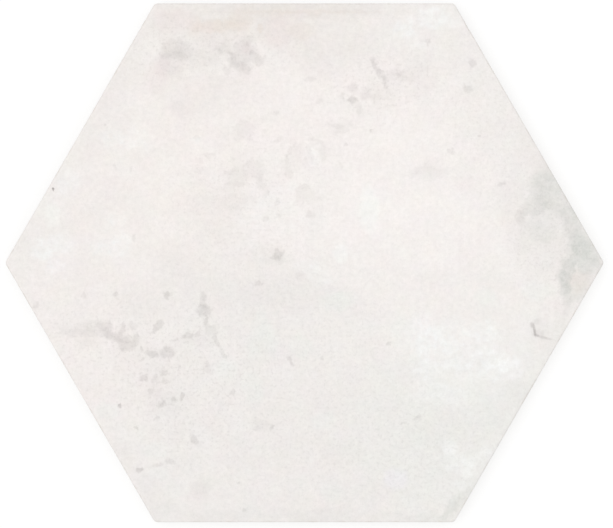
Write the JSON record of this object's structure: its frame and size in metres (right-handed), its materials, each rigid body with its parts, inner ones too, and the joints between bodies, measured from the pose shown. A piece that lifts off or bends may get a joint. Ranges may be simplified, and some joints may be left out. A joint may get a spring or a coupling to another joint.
{
  "type": "hexagon floor tile",
  "caption": "Flat regular hexagonal floor tile of glazed porcelain stoneware, with eased edges and a shallow grid of cells pressed into its back to key it to adhesive.",
  "frame": {"origin": "centre of the tile's back, on the plane that the tile lies on", "axes": "+Z out of the glazed face, +X through two opposite corners, +Y square to two opposite sides"},
  "size_m": [0.2494, 0.2166, 0.009],
  "materials": {
    "glazed_porcelain": "matte"
  },
  "bodies": {
    "root": {"tile": "glazed_porcelain"}
  },
  "joints": []
}
